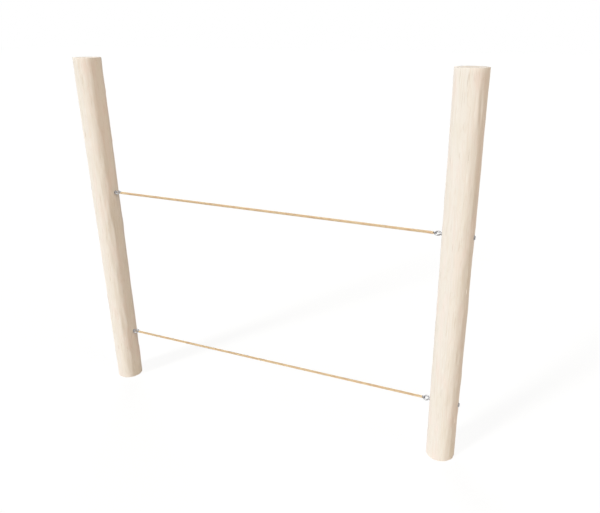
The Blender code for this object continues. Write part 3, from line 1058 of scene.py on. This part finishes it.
def hemp_polyester(name):
    """Spun polyester yarn, coloured like hemp: matt and slightly hairy, each yarn lighter or darker."""
    material, tree, surface = new_material(name)
    unwrapped = add_node(tree, "UVMap", uv_map="along_strand")
    length = add_node(tree, "SeparateXYZ", {"Vector": unwrapped}, output="X")
    turn = length.node.outputs["Y"]
    along = add_node(tree, "Math", {"Value": length, "Value_001": YARN_LAY}, operation="DIVIDE")
    around = add_node(tree, "Math", {"Value": turn, "Value_001": along}, operation="ADD")
    yarn = add_node(tree, "Math", {"Value": around, "Value_001": float(YARNS)}, operation="MULTIPLY")
    across = add_node(tree, "Math", {"Value": yarn}, operation="FRACT")
    number = add_node(tree, "Math", {"Value": yarn}, operation="FLOOR")
    number = add_node(
        tree, "Math", {"Value": number, "Value_001": float(YARNS)}, operation="FLOORED_MODULO"
    )
    tone = add_node(tree, "TexWhiteNoise", {"W": number}, noise_dimensions="1D")
    hill = add_node(tree, "Math", {"Value": across, "Value_001": math.pi}, operation="MULTIPLY")
    hill = add_node(tree, "Math", {"Value": hill}, operation="SINE")

    # The fuzz of hairs is drawn much coarser than real, so that it shows
    place = add_node(tree, "TexCoord", output="Object")
    fuzz = add_node(tree, "TexNoise", {"Vector": place, "Scale": 1 / FUZZ_WIDTH, "Detail": 2})

    # Handling has left duller, redder patches, and dust and shade lie where two strands press together
    handled = add_node(
        tree, "TexNoise", {"Vector": place, "Scale": 1 / HANDLED_WIDTH, "Detail": 2, "Roughness": 0.6}
    )
    flank = add_node(tree, "Math", {"Value": turn, "Value_001": 2 * math.pi}, operation="MULTIPLY")
    flank = add_node(tree, "Math", {"Value": flank}, operation="SINE")
    flank = add_node(tree, "Math", {"Value": flank}, operation="ABSOLUTE")
    colour = add_node(
        tree, "ValToRGB", {"Fac": tone}, stops=((0.0, "#F3DBB0"), (0.5, "#FAE7C4"), (1.0, "#FEF2D8")),
    )
    colour = tinted(
        tree, colour,
        # Painted shade, darker towards each yarn's edges, in the grooves between the yarns
        (hill, 0.60, 0.00, 0.40, "#C8A470"),
        (handled, 0.46, 0.66, 0.55, "#EBC49F"),
        (flank, 0.70, 0.98, 0.85, "#BA9664"),
    )
    tree.links.new(colour, surface.inputs["Base Color"])
    relief = add_node(tree, "Math", {"Value": hill, "Value_001": fuzz}, operation="ADD")
    bump = add_node(tree, "Bump", {"Height": relief, "Strength": 0.6, "Distance": 0.0004})
    tree.links.new(bump, surface.inputs["Normal"])
    surface.inputs["Roughness"].default_value = 0.85
    surface.inputs["Diffuse Roughness"].default_value = 1.0
    surface.inputs["Sheen Weight"].default_value = 0.15
    surface.inputs["Specular IOR Level"].default_value = 0.2
    return material


def rope_section(x, height, strand):
    """One strand's section. Over a tail it is pressed flatter and wider and lies further out."""
    over_tail = min(1, max(0, (abs(x) - TAIL_HALF_SPAN + SPREAD_LENGTH) / SPREAD_LENGTH))
    over_tail = over_tail * over_tail * (3 - 2 * over_tail)
    off_core = CORE_RADIUS + CORE_GAP
    off_tail = TAIL_RADIUS + TOUCH_GAP
    inner = off_core + (off_tail - off_core) * over_tail
    centre_radius = (ROPE_RADIUS + inner) / 2
    overlap = STRAND_OVERLAP + WIDENED_OVER_TAIL * over_tail
    half_width = centre_radius * math.sin(math.pi / STRANDS) * overlap
    turns = strand / STRANDS + 1 / 4 - (x + ROPE_END) / ROPE_LAY
    angle = 2 * math.pi * turns - RING_TURN
    return strand_section(x, height, angle, centre_radius, (ROPE_RADIUS - inner) / 2, half_width)


def strand_stations(height, strand):
    """Stations along a strand. One that lies beside an eye runs past its edge, and the others stop there."""
    off_eye = np.array((0, math.cos(RING_TURN), math.sin(RING_TURN)))
    ends = []
    for end in (-1, 1):
        middle, outward, sideways = rope_section(end * ROPE_END, height, strand)
        beside_eye = abs(outward @ off_eye) > math.sin(math.pi / 4) * np.linalg.norm(outward)
        ends.append(end * (ROPE_HALF_LENGTH if beside_eye else EYE_HALF_SPAN))
    return np.linspace(*ends, round((ends[1] - ends[0]) / STRAND_STEP) + 1)


def fibre_rope(name, height):
    """All the strands of one rope."""
    strands = []
    for strand in range(STRANDS):
        strands.append([rope_section(x, height, strand) for x in strand_stations(height, strand)])
    return rope_object(name, strands, STRAND_SIDES)


rope_fibre = hemp_polyester("hemp_coloured_polyester")
for level, body in zip(LEVELS, ROPE_BODIES):
    height = ROPE_HEIGHT[level]
    rope = fibre_rope(f"{level}_laid_rope", height)
    coat(rope, rope_fibre)
    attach(rope, body)
    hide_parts(f"{level}_rope")

# Floor and light
# A plain white studio. The wide pale floor keeps a faint shadow, a large soft key light stands at the front
# left, a weaker warm one at the right eases the shade, and one behind at the left lights the far side.
FLOOR_SIZE = 120
FLOOR_DROP = 0.0005
FLOOR_GLOW = 0.91
ROOM_LIGHT = 0.05


def seen_directly(tree):
    """1 for what is seen directly, in metal or through glass, and 0 for the light that it throws."""
    rays = add_node(tree, "LightPath").node.outputs
    direct = rays["Is Camera Ray"]
    for kind in ("Is Glossy Ray", "Is Transmission Ray"):
        direct = add_node(tree, "Math", {"Value": direct, "Value_001": rays[kind]}, operation="MAXIMUM")
    return direct


bpy.ops.object.select_all(action="DESELECT")
bpy.ops.mesh.primitive_plane_add(size=FLOOR_SIZE, location=(0, 0, -FLOOR_DROP))
floor = bpy.context.active_object
floor.name = "studio_floor"
material, tree, surface = new_material("white_floor_paint")
surface.inputs["Roughness"].default_value = 0.9
surface.inputs["Specular IOR Level"].default_value = 0
surface.inputs["Emission Color"].default_value = (1, 1, 1, 1)

# Seen directly, the floor is nearly all glow, so that its shadow is faint. It throws up a pale grey's light
direct = seen_directly(tree)
paint = add_node(
    tree, "Mix", {"Factor_Float": direct, "A_Color": linear("#B6ACA7"), "B_Color": linear("#616161")},
    data_type="RGBA",
)
tree.links.new(paint, surface.inputs["Base Color"])
glow = add_node(tree, "Math", {"Value": direct, "Value_001": FLOOR_GLOW}, operation="MULTIPLY")
tree.links.new(glow, surface.inputs["Emission Strength"])
coat(floor, material)

world = bpy.data.worlds.new("studio")
world.use_nodes = True
bpy.context.scene.world = world
tree = world.node_tree
background = tree.nodes["Background"]
strength = add_node(
    tree, "MapRange",
    {"Value": seen_directly(tree), "From Min": 0.0, "From Max": 1.0, "To Min": ROOM_LIGHT, "To Max": 1.0},
)
tree.links.new(strength, background.inputs["Strength"])
background.inputs["Color"].default_value = (1, 1, 1, 1)


def soft_sun(name, energy, colour, spread, elevation, azimuth):
    """A large far lamp. The azimuth is that of the lamp, turned from +X towards +Y."""
    light = bpy.data.lights.new(name, "SUN")
    light.energy = energy
    light.color = colour
    light.angle = math.radians(spread)
    lamp = bpy.data.objects.new(name, light)
    lamp.rotation_euler = (math.radians(90 - elevation), 0, math.radians(azimuth + 90))
    bpy.context.scene.collection.objects.link(lamp)


soft_sun("key", energy=2.84, colour=(1.0, 1.0, 0.965), spread=10, elevation=30, azimuth=-118)
soft_sun("fill", energy=1.36, colour=(1.0, 0.85, 0.67), spread=30, elevation=20, azimuth=-10)
soft_sun("back", energy=1.30, colour=(1.0, 1.0, 1.0), spread=30, elevation=28, azimuth=130)

bpy.context.scene.view_settings.view_transform = "Standard"
